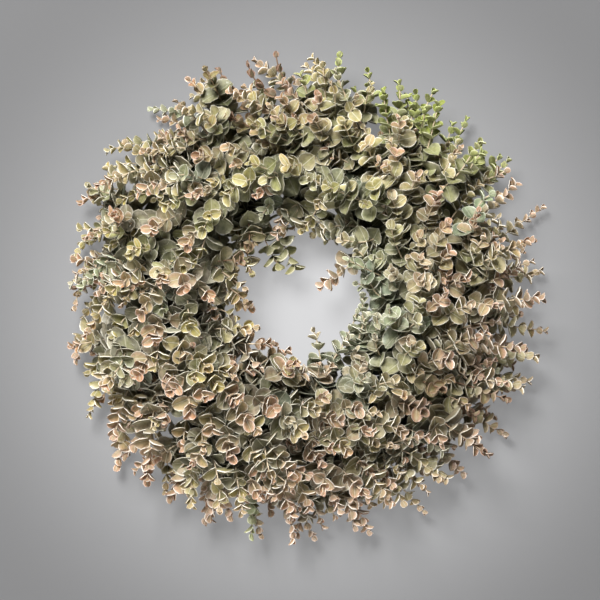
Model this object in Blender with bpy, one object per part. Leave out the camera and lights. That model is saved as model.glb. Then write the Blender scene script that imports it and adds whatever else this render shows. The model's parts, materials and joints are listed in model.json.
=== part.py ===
"""A eucalyptus wreath: leafy sprays tied on a wound vine ring, hung on a wall.

Metres, +Z up. The wreath hangs in the XZ plane with its front to -Y. The origin is where a
wall hook bears, at the inside of the ring's top.
"""
import math
import random
from collections import namedtuple

import bmesh
import bpy
from mathutils import Vector
from mathutils.bvhtree import BVHTree

# The vine ring: one long cane wound three times round, twisting as it goes
RING_RADIUS = 0.148
CANE_RADIUS = 0.0054
CANE_OFFSET = 0.0068
CANE_ROUNDS = 3
CANE_TURNS = 10
CANE_STEPS_PER_ROUND = 28
CANE_START = math.radians(-120)
HANG_DEPTH = CANE_OFFSET + CANE_RADIUS

# The wire ties, one at each station of the ring
STATIONS = 9
FIRST_STATION = math.radians(-10)
TIE_RADIUS = 0.0007
TIE_GAP = 0.00042
TIE_CORNERS = 8

# The stems: half their thickness at the base, and where they bend, as shares of their length
STEM_DEPTH = 0.0147
STEM_TAIL = 0.009
STEM_RUN = 0.007
MAIN_START_HANDLE = 0.22
MAIN_END_HANDLE = 0.4
SIDE_HANDLE = 0.3
MAIN_HALF = 0.0013
MAIN_BENDS = (0.1, 0.22)
SIDE_HALF = 0.0010
SIDE_BENDS = (0.18,)
TIP_TAPER = 0.6
SIDE_STEM_STARTS = (4, 5, 6)
TIP_WANDER = 0.012
FRONT_WANDER = 0.010

# How the sprigs lean round the wreath: the mean lean, its change, and where it is greatest
SWIRL_MEAN = math.radians(33)
SWIRL_CHANGE = math.radians(28)
SWIRL_PEAK = math.radians(155)

# The leaves: their length and how far they open from the stem, at its base and at its tip
LEAF_THICKNESS = 0.0009
NECK_HEIGHT = 0.0012
BASE_LEAF = 0.046
TIP_LEAF = 0.022
END_LEAF = 0.019
BASE_OPENING = math.radians(66)
TIP_OPENING = math.radians(34)
MOST_TWIST = math.radians(50)
CUP = 0.17
TIP_CURL = 0.07
LEAST_FACING = 0.001
ROUND_RIM = (-125, -62, 0, 62, 125)
POINTED_RIM = (-105, 0, 105)

# Where the foliage ends, and how its sprigs are fitted among one another
WALL_Y = 0.0145
HOLE_RADIUS = 0.046
CLEARANCE = 0.0005
ROLL_TRIES = 14
LEAF_SCALES = (1, 0.9, 0.8, 0.7)
END_SCALES = (1, 0.7, 0)
SEED = 12

# The colours and how rough each finish is
VINE_COLOUR = (0.16, 0.10, 0.06)
VINE_ROUGHNESS = 0.8
WIRE_COLOUR = (0.05, 0.08, 0.05)
WIRE_ROUGHNESS = 0.5
LEAF_COLOUR = (0.30, 0.32, 0.21)
LEAF_ROUGHNESS = 0.6

FRONT = Vector((0, -1, 0))
CENTRE = Vector((0, 0, HANG_DEPTH - RING_RADIUS))

# Each row of sprays. Seat is where its stems lie round the ring's section. Reach and front
# place its tips, which lean to the front, drift on round the ring and turn from the swirl.
# Fans spreads a spray's sprigs, and pairs places their leaves, as shares of the stem.
Row = namedtuple("Row", "name seat reach front lean drift turn fans pairs")
Sprig = namedtuple("Sprig", "station row path half bends stem_tree")
ROWS = (
    Row("back", -20, 0.268, 0.006, 0, 15, 0, (0, -13.3, 13.3), (0.36, 0.70)),
    Row("outer", 22, 0.242, 0.056, 18, 22, 0, (0, -13.3, 13.3), (0.34, 0.68)),
    Row("face", 64, 0.196, 0.094, 45, 26, 5, (-10, 10), (0.32, 0.68)),
    Row("eye", 106, 0.140, 0.096, 50, 36, 45, (-10, 10), (0.32, 0.68)),
    Row("inner", 148, 0.083, 0.046, 14, 26, 95, (-9, 11), (0.36, 0.70)),
)


def radial(angle):
    """The direction away from the ring's centre at a clock angle."""
    return Vector((math.cos(angle), 0, math.sin(angle)))


def tangent(angle):
    """The direction along the ring, counter-clockwise from the front."""
    return Vector((-math.sin(angle), 0, math.cos(angle)))


def station_angle(station):
    """Where round the ring a tie and its sprays sit."""
    return FIRST_STATION + math.tau * station / STATIONS


def ring_point(angle, section_angle, depth):
    """A point round the ring's own section, with 0 outward and 90 degrees to the front."""
    across = radial(angle) * math.cos(section_angle) + FRONT * math.sin(section_angle)
    return CENTRE + radial(angle) * RING_RADIUS + across * depth


def swirl(angle):
    """How far the sprigs lean round the wreath, counter-clockwise from straight outward."""
    return SWIRL_MEAN + SWIRL_CHANGE * math.cos(angle - SWIRL_PEAK)


def bezier(start, handle_a, handle_b, end, steps=16):
    """Points along a cubic curve."""
    points = []
    for step in range(steps + 1):
        t = step / steps
        s = 1 - t
        points.append(start * s ** 3 + handle_a * 3 * s * s * t
                      + handle_b * 3 * s * t * t + end * t ** 3)
    return points


def tip_point(row, angle, draw):
    """The end of a sprig and the way it points there."""
    reach = row.reach + draw.uniform(-TIP_WANDER, TIP_WANDER)
    front = row.front + draw.uniform(-FRONT_WANDER, FRONT_WANDER)
    tip = CENTRE + radial(angle) * reach + FRONT * front
    lean = math.radians(row.lean)
    turn = math.radians(row.turn) + swirl(angle)
    flat = radial(angle) * math.cos(turn) + tangent(angle) * math.sin(turn)
    return tip, flat * math.cos(lean) + FRONT * math.sin(lean)


def main_path(seat, along, tip, aim):
    """A stem that lies along the ring under its tie and then bends away to its tip."""
    leave = seat + along * STEM_RUN
    length = (tip - leave).length
    first = leave + along * length * MAIN_START_HANDLE
    curve = bezier(leave, first, tip - aim * length * MAIN_END_HANDLE, tip)
    return [seat - along * STEM_TAIL] + curve


def side_path(leave, tip, aim):
    """A stem that leaves a main stem."""
    handle = (tip - leave) * SIDE_HANDLE
    return bezier(leave, leave + handle, tip - aim * handle.length, tip)


def spray_paths(station, row):
    """The paths of one spray: its main stem first, then the side stems that leave it."""
    draw = random.Random(f"{SEED} {row.name} {station}")
    angle = station_angle(station)
    seat = ring_point(angle, math.radians(row.seat), STEM_DEPTH)
    paths = []
    for fan in row.fans:
        tip, aim = tip_point(row, angle + math.radians(row.drift + fan), draw)
        if paths:
            paths.append(side_path(paths[0][draw.choice(SIDE_STEM_STARTS)], tip, aim))
        else:
            paths.append(main_path(seat, tangent(angle), tip, aim))
    return paths


def walk(path, share):
    """The point and the direction at a share of a path's length."""
    lengths = [(b - a).length for a, b in zip(path, path[1:])]
    target = share * sum(lengths)
    for a, b, length in zip(path, path[1:], lengths):
        if target <= length:
            return a.lerp(b, target / length), (b - a).normalized()
        target -= length
    return path[-1].copy(), (path[-1] - path[-2]).normalized()


class Shell:
    """The points and faces of one solid while it grows."""

    def __init__(self):
        self.points = []
        self.faces = []
        self.leaf_faces = []

    def add(self, point):
        """Add a point and give its number."""
        self.points.append(point)
        return len(self.points) - 1

    def quad(self, a, b, c, d):
        """Add four corners as two triangles."""
        self.faces.append((a, b, c))
        self.faces.append((a, c, d))

    def square(self, centre, side, across, half):
        """Four corners round a stem."""
        corners = ((1, 1), (-1, 1), (-1, -1), (1, -1))
        return [self.add(centre + side * (half * s) + across * (half * w)) for s, w in corners]

    def sleeve(self, lower, upper, open_sides=()):
        """The walls between two squares, left open where leaves grow out."""
        for k in range(4):
            if k not in open_sides:
                following = (k + 1) % 4
                self.quad(lower[k], lower[following], upper[following], upper[k])


def front_twist(normal, across):
    """How far a leaf turns about its midrib to show its face to the front."""
    toward = normal.dot(FRONT)
    if abs(toward) < LEAST_FACING:
        toward = LEAST_FACING
    twist = math.atan(-across.dot(FRONT) / toward)
    return max(-MOST_TWIST, min(MOST_TWIST, twist))


def cut_fan(last):
    """The triangles of a leaf whose rim runs from corner 0 to the last, folded at its midrib."""
    middle = last // 2
    left = [(0, i, i + 1) for i in range(1, middle)]
    right = [(last, i, i + 1) for i in range(middle, last - 1)]
    return left + [(0, middle, last)] + right


def leaf(shell, neck, outward, across, heading, size, opening, rim):
    """A cupped leaf that grows from a neck of four corners in a stem's side.

    The neck lists the upper corners, left and right, then the lower ones.
    """
    first_face = len(shell.faces)
    midrib = heading * math.cos(opening) + outward * math.sin(opening)
    normal = heading * math.sin(opening) - outward * math.cos(opening)
    twist = front_twist(normal, across)
    width = across * math.cos(twist) + normal * math.sin(twist)
    face = normal * math.cos(twist) - across * math.sin(twist)
    base = (shell.points[neck[0]] + shell.points[neck[1]]) / 2
    top = [neck[0]]
    under = [neck[2]]
    for degrees in rim:
        turn = math.radians(degrees)
        lift = CUP * abs(math.sin(turn)) + (0 if degrees else TIP_CURL)
        along = midrib * ((1 + math.cos(turn)) / 2) + width * (math.sin(turn) / 2)
        point = base + (along + face * lift) * size
        top.append(shell.add(point))
        under.append(shell.add(point - face * LEAF_THICKNESS))
    top.append(neck[1])
    under.append(neck[3])
    last = len(top) - 1
    for a, b, c in cut_fan(last):
        shell.faces.append((top[a], top[b], top[c]))
        shell.faces.append((under[c], under[b], under[a]))
    for i in range(last):
        shell.quad(top[i], under[i], under[i + 1], top[i + 1])
    shell.leaf_faces += shell.faces[first_face:]


def leaf_pair(shell, lower, upper, sides, side, across, heading, size, opening):
    """Two leaves that grow from opposite sides of a stem, between two of its squares."""
    outwards = (across, -side, -across, side)
    for k in sides:
        following = (k + 1) % 4
        span = (shell.points[lower[following]] - shell.points[lower[k]]).normalized()
        neck = (upper[k], upper[following], lower[k], lower[following])
        leaf(shell, neck, outwards[k], span, heading, size, opening, ROUND_RIM)


def sprig_shell(path, half, bends, shares, roll, sizes, end_size):
    """A stem and its opposite pairs of leaves as one closed solid.

    A pair of size 0 is left off. Each pair stands crosswise to the one before.
    """
    stops = [(share, None) for share in (0, *bends, 1)]
    stops += [(share, number) for number, share in enumerate(shares)]
    stops.sort()
    heading = walk(path, 0)[1]
    side = heading.orthogonal().normalized()
    side = side * math.cos(roll) + heading.cross(side) * math.sin(roll)
    shell = Shell()
    squares = []
    opened = {}
    for share, pair in stops:
        point, heading = walk(path, share)
        side = (side - heading * side.dot(heading)).normalized()
        across = heading.cross(side)
        thick = half * (1 - (1 - TIP_TAPER) * share)
        squares.append(shell.square(point, side, across, thick))
        if pair is None or not sizes[pair]:
            continue
        sides = (1, 3) if pair % 2 == 0 else (0, 2)
        opened[len(squares) - 1] = sides
        squares.append(shell.square(point + heading * NECK_HEIGHT, side, across, thick))
        opening = BASE_OPENING + (TIP_OPENING - BASE_OPENING) * share
        leaf_pair(shell, *squares[-2:], sides, side, across, heading, sizes[pair], opening)
    for number, (lower, upper) in enumerate(zip(squares, squares[1:])):
        shell.sleeve(lower, upper, opened.get(number, ()))
    start, end = squares[0], squares[-1]
    shell.quad(*reversed(start))
    if end_size:
        neck = (end[3], end[0], end[2], end[1])
        leaf(shell, neck, heading, across, side, end_size, math.pi / 2, POINTED_RIM)
    else:
        shell.quad(*end)
    return shell


def face_mesh(name, points, faces):
    """A mesh with its faces pointing out."""
    mesh = bpy.data.meshes.new(name)
    mesh.from_pydata([tuple(point) for point in points], [], faces)
    shape = bmesh.new()
    shape.from_mesh(mesh)
    bmesh.ops.recalc_face_normals(shape, faces=shape.faces)
    shape.to_mesh(mesh)
    shape.free()
    return mesh


def material(name, colour, roughness):
    """A plain finish."""
    finish = bpy.data.materials.new(name)
    finish.use_nodes = True
    shader = finish.node_tree.nodes["Principled BSDF"]
    shader.inputs["Base Color"].default_value = (*colour, 1)
    shader.inputs["Roughness"].default_value = roughness
    return finish


def make_object(name, mesh, collection, finish=None):
    """An object on a mesh, in a collection."""
    item = bpy.data.objects.new(name, mesh)
    collection.objects.link(item)
    if finish:
        mesh.materials.append(finish)
    return item


def tree(points, faces, grow=0.0):
    """A search tree of some faces, grown outward a little."""
    shape = bmesh.new()
    corners = [shape.verts.new(point) for point in points]
    for face in faces:
        shape.faces.new([corners[i] for i in face])
    loose = [corner for corner in corners if not corner.link_faces]
    bmesh.ops.delete(shape, geom=loose, context="VERTS")
    shape.normal_update()
    for corner in shape.verts:
        corner.co += corner.normal * grow
    found = BVHTree.FromBMesh(shape)
    shape.free()
    return found


def wire_mesh(name, points, radius, resolution):
    """A closed loop of round wire through some points."""
    curve = bpy.data.curves.new(name, "CURVE")
    curve.dimensions = "3D"
    curve.bevel_depth = radius
    curve.bevel_resolution = resolution
    spline = curve.splines.new("POLY")
    spline.points.add(len(points) - 1)
    for corner, point in zip(spline.points, points):
        corner.co = (*point, 1)
    spline.use_cyclic_u = True
    item = bpy.data.objects.new(name, curve)
    mesh = bpy.data.meshes.new_from_object(item)
    bpy.data.objects.remove(item)
    return mesh


def vine_ring():
    """The cane, which winds round the ring's own section while it goes round the ring."""
    steps = CANE_ROUNDS * CANE_STEPS_PER_ROUND
    points = []
    for step in range(steps):
        turn = math.tau * step / steps
        points.append(ring_point(turn * CANE_ROUNDS, CANE_START + turn * CANE_TURNS, CANE_OFFSET))
    return wire_mesh("vine_ring", points, CANE_RADIUS, 1)


def hull_half(spots):
    """One side of the outline of some sorted spots."""
    chain = []
    for spot in spots:
        while len(chain) > 1:
            edge = chain[-1] - chain[-2]
            reach = spot - chain[-2]
            if edge.cross(reach) > 0:
                break
            chain.pop()
        chain.append(spot)
    return chain[:-1]


def circle_spots(section_angle, depth, radius):
    """Corners round a stem's or a cane's place in the ring's section."""
    middle = Vector((depth * math.cos(section_angle), depth * math.sin(section_angle)))
    spots = []
    for k in range(TIE_CORNERS):
        spin = math.tau * (k + 0.5) / TIE_CORNERS
        spots.append(middle + Vector((math.cos(spin), math.sin(spin))) * radius)
    return spots


def wire_tie(station):
    """A loop of wire pulled round the cane and the stems at a station."""
    angle = station_angle(station)
    clear = TIE_RADIUS + TIE_GAP
    spots = []
    for k in range(CANE_ROUNDS):
        twist = CANE_START + CANE_TURNS * (angle + math.tau * k) / CANE_ROUNDS
        spots += circle_spots(twist, CANE_OFFSET, CANE_RADIUS + clear)
    for row in ROWS:
        spots += circle_spots(math.radians(row.seat), STEM_DEPTH, MAIN_HALF * math.sqrt(2) + clear)
    spots.sort(key=lambda spot: (spot.x, spot.y))
    outline = hull_half(spots) + hull_half(spots[::-1])
    points = [ring_point(angle, math.atan2(spot.y, spot.x), spot.length) for spot in outline]
    return wire_mesh(f"wire_tie_{station + 1:02d}", points, TIE_RADIUS, 0)


def fits(shell, faces, others):
    """Whether some faces clear every other piece and stay between the wall and the hole."""
    for number in {number for face in faces for number in face}:
        point = shell.points[number]
        from_axis = point - CENTRE
        if point.y > WALL_Y or math.hypot(from_axis.x, from_axis.z) < HOLE_RADIUS:
            return False
    candidate = tree(shell.points, faces, CLEARANCE)
    return all(not candidate.overlap(other) for other in others)


def shown(shell):
    """How much leaf a sprig shows to the front."""
    area = 0
    for a, b, c in shell.leaf_faces:
        p, q, r = shell.points[a], shell.points[b], shell.points[c]
        area += abs((q - p).cross(r - p).dot(FRONT))
    return area


def fitted_size(sprig, roll, pair, size, others):
    """The largest size at which a pair of leaves touches nothing, or 0."""
    for scale in LEAF_SCALES:
        trial = [0] * len(sprig.row.pairs)
        trial[pair] = size * scale
        shell = sprig_shell(sprig.path, sprig.half, sprig.bends, sprig.row.pairs, roll, trial, 0)
        if fits(shell, shell.leaf_faces, others):
            return size * scale
    return 0


def dress(sprig, draw, others):
    """A sprig with its leaves, turned to show the most that touches nothing."""
    stem = (sprig.path, sprig.half, sprig.bends, sprig.row.pairs)
    full = [BASE_LEAF + (TIP_LEAF - BASE_LEAF) * share for share in sprig.row.pairs]
    trials = []
    for _ in range(ROLL_TRIES):
        roll = draw.uniform(0, math.pi)
        sizes = [fitted_size(sprig, roll, pair, size, others) for pair, size in enumerate(full)]
        trials.append((shown(sprig_shell(*stem, roll, sizes, 0)), roll, sizes))
    _, roll, sizes = max(trials)
    bare = len(sprig_shell(*stem, roll, sizes, 0).leaf_faces)
    for scale in END_SCALES:
        shell = sprig_shell(*stem, roll, sizes, END_LEAF * scale)
        if fits(shell, shell.leaf_faces[bare:], others):
            return shell


def join(name, shells, collection, finish):
    """A spray's sprigs as one closed solid."""
    first = make_object(name, face_mesh(name, shells[0].points, shells[0].faces), collection, finish)
    pieces = bpy.data.collections.new(name + "_pieces")
    bpy.context.scene.collection.children.link(pieces)
    for shell in shells[1:]:
        make_object(name + "_side", face_mesh(name + "_side", shell.points, shell.faces), pieces)
    union = first.modifiers.new("Union", "BOOLEAN")
    union.operation = "UNION"
    union.operand_type = "COLLECTION"
    union.collection = pieces
    union.solver = "MANIFOLD"
    graph = bpy.context.evaluated_depsgraph_get()
    joined = bpy.data.meshes.new_from_object(first.evaluated_get(graph))
    first.modifiers.remove(union)
    first.data = joined
    for item in list(pieces.objects):
        bpy.data.objects.remove(item)
    bpy.data.collections.remove(pieces)
    shape = bmesh.new()
    shape.from_mesh(joined)
    bmesh.ops.triangulate(shape, faces=shape.faces)
    shape.to_mesh(joined)
    shape.free()


def mesh_tree(mesh):
    """A search tree of a whole mesh."""
    return tree([corner.co for corner in mesh.vertices], [face.vertices for face in mesh.polygons])


def add_wires(wreath):
    """The vine ring and the ties, and a search tree of each."""
    ring = vine_ring()
    make_object("vine_ring", ring, wreath, material("vine", VINE_COLOUR, VINE_ROUGHNESS))
    trees = [mesh_tree(ring)]
    for station in range(STATIONS):
        loop = wire_tie(station)
        make_object(loop.name, loop, wreath, material(loop.name, WIRE_COLOUR, WIRE_ROUGHNESS))
        trees.append(mesh_tree(loop))
    return trees


def plan_sprigs():
    """Every sprig's stem, before any leaf is hung."""
    sprigs = []
    for station in range(STATIONS):
        for row in ROWS:
            for number, path in enumerate(spray_paths(station, row)):
                half, bends = (SIDE_HALF, SIDE_BENDS) if number else (MAIN_HALF, MAIN_BENDS)
                bare = sprig_shell(path, half, bends, row.pairs, 0, (0, 0), 0)
                stem_tree = tree(bare.points, bare.faces)
                sprigs.append(Sprig(station, row, path, half, bends, stem_tree))
    return sprigs


def add_sprays(wreath, wire_trees):
    """The leafy sprays, each fitted among all the stems and the leaves before it."""
    sprigs = plan_sprigs()
    leaf_trees = []
    sprays = {}
    for sprig in sprigs:
        draw = random.Random(f"{SEED} leaves {len(leaf_trees)}")
        stem_trees = [other.stem_tree for other in sprigs if other is not sprig]
        shell = dress(sprig, draw, wire_trees + stem_trees + leaf_trees)
        leaf_trees.append(tree(shell.points, shell.leaf_faces))
        name = f"spray_{sprig.row.name}_{sprig.station + 1:02d}"
        sprays.setdefault(name, []).append(shell)
    for name, shells in sprays.items():
        join(name, shells, wreath, material(name, LEAF_COLOUR, LEAF_ROUGHNESS))


def main():
    """Clear the scene and build the wreath."""
    for item in list(bpy.data.objects):
        bpy.data.objects.remove(item)
    wreath = bpy.data.collections.new("eucalyptus_wreath")
    bpy.context.scene.collection.children.link(wreath)
    add_sprays(wreath, add_wires(wreath))


main()
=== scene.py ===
"""The looks of a eucalyptus wreath: leafy sprays on a wound vine ring, hung on a plain wall.

Metres, +Z up, with the front to -Y. The stems repeat the paths of the wreath's solids, and finer
sprigs, side shoots and leaves are added to them.
"""

import json
import math
import random
from collections import namedtuple

import bpy
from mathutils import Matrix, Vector

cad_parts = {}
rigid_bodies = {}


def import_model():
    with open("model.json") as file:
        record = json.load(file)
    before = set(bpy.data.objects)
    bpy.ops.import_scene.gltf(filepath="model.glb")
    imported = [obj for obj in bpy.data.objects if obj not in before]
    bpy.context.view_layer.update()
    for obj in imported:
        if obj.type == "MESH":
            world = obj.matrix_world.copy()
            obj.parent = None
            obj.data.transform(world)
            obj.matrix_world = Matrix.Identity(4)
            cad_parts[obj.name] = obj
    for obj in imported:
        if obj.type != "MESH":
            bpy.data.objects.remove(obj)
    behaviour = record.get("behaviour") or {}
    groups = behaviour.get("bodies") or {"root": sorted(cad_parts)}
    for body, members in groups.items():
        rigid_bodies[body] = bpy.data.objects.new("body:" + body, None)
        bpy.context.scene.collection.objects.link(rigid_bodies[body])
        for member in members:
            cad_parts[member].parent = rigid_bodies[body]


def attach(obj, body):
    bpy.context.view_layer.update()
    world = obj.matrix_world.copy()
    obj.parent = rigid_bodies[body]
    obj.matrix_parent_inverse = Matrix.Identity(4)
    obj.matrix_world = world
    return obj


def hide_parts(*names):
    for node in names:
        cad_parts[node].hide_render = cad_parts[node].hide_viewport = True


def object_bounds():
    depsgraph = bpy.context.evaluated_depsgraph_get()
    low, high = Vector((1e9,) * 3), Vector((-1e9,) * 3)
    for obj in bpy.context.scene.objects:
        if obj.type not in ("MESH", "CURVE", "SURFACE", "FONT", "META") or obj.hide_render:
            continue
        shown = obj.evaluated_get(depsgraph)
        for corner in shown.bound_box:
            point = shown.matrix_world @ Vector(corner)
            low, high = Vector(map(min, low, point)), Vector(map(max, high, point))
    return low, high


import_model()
cad_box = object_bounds()
bpy.context.scene.view_settings.view_transform = "Standard"

# The vine ring, as in the wreath's solids, with its knots and the grooves of its bark
RING_RADIUS = 0.148
CANE_RADIUS = 0.0054
CANE_OFFSET = 0.0068
CANE_ROUNDS = 3
CANE_TURNS = 10
CANE_START = math.radians(-120)
CANE_STEPS = 540
VINE_KNOTS = 0.16
KNOTS_TO_A_METRE = 45.0
KNOT_DETAIL = 2.0
KNOT_CONTRAST = (0.3, 0.7)
VINE_GROOVES = 7
VINE_GROOVE_DEPTH = 0.13
VINE_GROOVE_TURNS = 4
HANG_DEPTH = CANE_OFFSET + CANE_RADIUS

# The stations of the ring, the wire wound round each, and where the stems lie on it
STATIONS = 9
TIE_RADIUS = 0.0007
TIE_GAP = 0.00042
TIE_CORNERS = 12
TIE_ROUNDS = 3
TIE_PITCH = 0.0024
TIE_STEPS = 40
WIRE_SIDES = 8
FIRST_STATION = math.radians(-10)
STEM_DEPTH = 0.0147
STEM_TAIL = 0.009
STEM_RUN = 0.007
MAIN_START_HANDLE = 0.22
MAIN_END_HANDLE = 0.4
SIDE_HANDLE = 0.3
SIDE_STEM_STARTS = (4, 5, 6)
TIP_WANDER = 0.012
FRONT_WANDER = 0.010
SEED = 12

# How the sprigs lean round the wreath: the mean lean, its change, and where it is greatest
SWIRL_MEAN = math.radians(33)
SWIRL_CHANGE = math.radians(28)
SWIRL_PEAK = math.radians(155)

# Each row of sprays. Seat is where its stems lie round the ring's section. Reach and front
# place its tips, which lean to the front, drift on round the ring and turn from the swirl.
# Fans spreads a spray's own sprigs, and fill places the finer sprigs between them. Young is how
# young a sprig's last leaves look, from 0 for full grown to 1 for the smallest, and growth is how
# far its fine tip grows beyond the solid stem's end.
Row = namedtuple("Row", "name seat reach front lean drift turn fans fill young growth")
ROWS = (
    Row("back", -20, 0.268, 0.006, 0, 15, 0,
        (0, -13.3, 13.3), (-6.7, -10, 3.3, 6.7, 16.7, 20), 1.0, 0.016),
    Row("outer", 22, 0.242, 0.056, 18, 22, 0, (0, -13.3, 13.3), (-6.7, 3.3, 6.7, 10, 20), 0.95, 0.020),
    Row("face", 64, 0.196, 0.094, 45, 26, 5, (-10, 10), (0, 20), 0.85, 0.0),
    Row("eye", 106, 0.140, 0.096, 50, 36, 45, (-10, 10), (0, 20), 0.8, 0.0),
    Row("inner", 148, 0.083, 0.046, 14, 26, 95, (-9, 11), (1, 21), 0.95, 0.004),
)
FULLER_SIDES = (math.radians(-32), math.radians(18), math.radians(155), math.radians(220))
FULLER_SPREAD = math.radians(50)
FULLER_GROWTH = 0.016
FILL_DROP = (0.0, 0.020)
FILL_START = (5, 8)
FILL_YOUTH = 0.1
FAR_FAN = 15

# A leafy stem: its path, half its thickness, where its leaves begin, how young they are there and
# at its tip, how far apart its pairs of leaves sit, how far they spread beside other stems'
# leaves, and its tone where that isn't left to chance
PAIR_SPACING = 0.0108
Stem = namedtuple("Stem", "path half bare youth young spacing spread tone",
                  defaults=(PAIR_SPACING, 1.0, None))
MAIN_HALF = 0.0013
SIDE_HALF = 0.0011
SHOOT_HALF = 0.0009
TIP_HALF = 0.0008
STEM_SIDES = 6
MAIN_BARE = 0.20
SIDE_BARE = 0.14
SHOOT_BARE = 0.16
CROWDING = 1.2
FEWEST_PAIRS = 3

# The side shoots: where they leave a stem, how far they lean from it, and how long they are
SHOOT_STARTS = (0.22, 0.55)
SHOOT_LEAN = (math.radians(28), math.radians(52))
SHOOT_LENGTH = (0.042, 0.068)
SHOOT_YOUTH = (0.15, 0.45)
SHOOT_TO_FRONT = 0.6

# Where the foliage ends
FRONT_LIMIT = 0.112
WALL_Y = 0.0144
WALL_ROOM = 0.014
HOLE_LIMIT = 0.068
RIM_LIMIT = 0.285
TIP_ROOM = 0.0095

# The tones of sprigs whose colours aren't left to chance
TONES = {
    "limy": {"blush": 0.0, "mint": 0.0, "rust": 0.0},
    "minty": {"blush": 0.12, "mint": 0.6, "rust": 0.0, "light": 0.9},
    "frosty": {"blush": 0.1, "mint": 1.0, "rust": 0.0, "light": 1.0},
    "coral": {"blush": 0.95, "mint": 0.0, "rust": 0.0},
    "ochre": {"blush": 0.45, "mint": 0.0, "rust": 0.35},
    # A sprig in painted shade, darkened where it lies in the shadow of the leaves above it
    "dark": {"blush": 0.08, "mint": 0.0, "rust": 0.6, "light": 0.0},
    "rusty": {"blush": 0.7, "mint": 0.0, "rust": 1.0},
}

# Kinds of sprig that stray into the hole or beyond the others: where their leaves begin, how
# young they are there and at the tip, their spacing, how far they spread, and their tone
CLOSE = 0.0095
Kind = namedtuple("Kind", "bare youth young spacing spread tone")
HOLE_CORAL = Kind(0.14, 0.20, 0.85, PAIR_SPACING, 1.0, "coral")
# A hole sprig in painted shade
HOLE_PAINTED_SHADE = Kind(0.14, 0.35, 0.80, PAIR_SPACING, 1.0, "dark")
HOLE_PLAIN = Kind(0.14, 0.35, 1.0, PAIR_SPACING, 1.0, None)
LIMY = Kind(0.55, 0.50, 1.0, PAIR_SPACING, 0.8, "limy")
MINTY = Kind(0.50, 0.50, 1.0, PAIR_SPACING, 0.7, "minty")
FROSTY = Kind(0.40, 0.30, 0.90, CLOSE, 0.9, "frosty")
RUSTY = Kind(0.50, 0.80, 0.95, 0.012, 0.4, "rusty")
PLAIN = Kind(0.45, 0.35, 0.90, CLOSE, 0.9, None)
OCHRE = Kind(0.45, 0.40, 0.90, CLOSE, 0.8, "ochre")
HANGING = Kind(0.45, 0.50, 0.95, 0.0085, 0.6, "coral")

# The straying sprigs: the row and the station they leave, their tip's clock angle, reach and
# depth, and their kind
Stray = namedtuple("Stray", "row station angle reach front kind")
STRAYS = (
    Stray("inner", 1, 28, 0.030, 0.034, HOLE_CORAL),
    Stray("inner", 3, 106, 0.038, 0.020, HOLE_PAINTED_SHADE._replace(young=0.75)),
    Stray("inner", 3, 127, 0.048, 0.020, HOLE_PAINTED_SHADE),
    Stray("inner", 7, 289, 0.046, 0.040, HOLE_PLAIN),
    Stray("outer", 0, 28, 0.246, 0.080, FROSTY),
    Stray("outer", 1, 57, 0.283, 0.030, LIMY),
    Stray("outer", 2, 81, 0.284, 0.030, LIMY),
    Stray("back", 2, 96, 0.284, 0.026, RUSTY),
    Stray("back", 2, 103, 0.276, 0.030, RUSTY),
    Stray("back", 2, 110, 0.280, 0.018, RUSTY),
    Stray("outer", 4, 178, 0.266, 0.020, RUSTY),
    Stray("outer", 3, 139, 0.272, 0.030, OCHRE),
    Stray("outer", 3, 147, 0.270, 0.034, PLAIN),
    Stray("back", 4, 154, 0.274, 0.022, OCHRE),
    Stray("back", 4, 163, 0.270, 0.030, PLAIN),
    Stray("outer", 4, 171, 0.268, 0.034, PLAIN._replace(tone="coral")),
    Stray("outer", 5, 222, 0.278, 0.030, HANGING),
    Stray("back", 6, 237, 0.282, 0.020, HANGING),
    Stray("back", 6, 247, 0.286, 0.024, HANGING),
    Stray("outer", 6, 258, 0.288, 0.024, MINTY),
    Stray("outer", 6, 268, 0.288, 0.030, HANGING),
    Stray("back", 7, 283, 0.280, 0.024, HANGING),
    Stray("outer", 7, 296, 0.270, 0.030, OCHRE),
    Stray("outer", 7, 308, 0.272, 0.024, OCHRE),
    Stray("back", 8, 321, 0.264, 0.024, OCHRE._replace(tone="coral")),
    Stray("outer", 8, 337, 0.278, 0.030, OCHRE),
    Stray("outer", 8, 345, 0.282, 0.026, OCHRE),
)
STRAY_START = 7

# The leaves: their size and opening at a stem's foot and at its tip, and how far these, their
# twist and their shape are left to chance
BASE_LEAF = 0.031
TIP_LEAF = 0.0090
SIZE_POWER = 0.95
SIZE_CHANCE = (0.76, 1.18)
BASE_OPENING = math.radians(84)
TIP_OPENING = math.radians(36)
OPENING_POWER = 3.0
OPENING_CHANCE = (-0.34, 0.28)
ROLL_CHANCE = (-0.4, 0.4)
TWIST_CHANCE = (-0.42, 0.42)
SHAPE_CHANCE = (-0.9, 0.9)
TURN_TO_FRONT = 0.18
MOST_TWIST = math.radians(28)
VIGOUR = (0.88, 1.10)
LARGE_SIDE = math.radians(228)
LARGE_SPREAD = math.radians(60)
LARGER_LEAVES = 0.14

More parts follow.
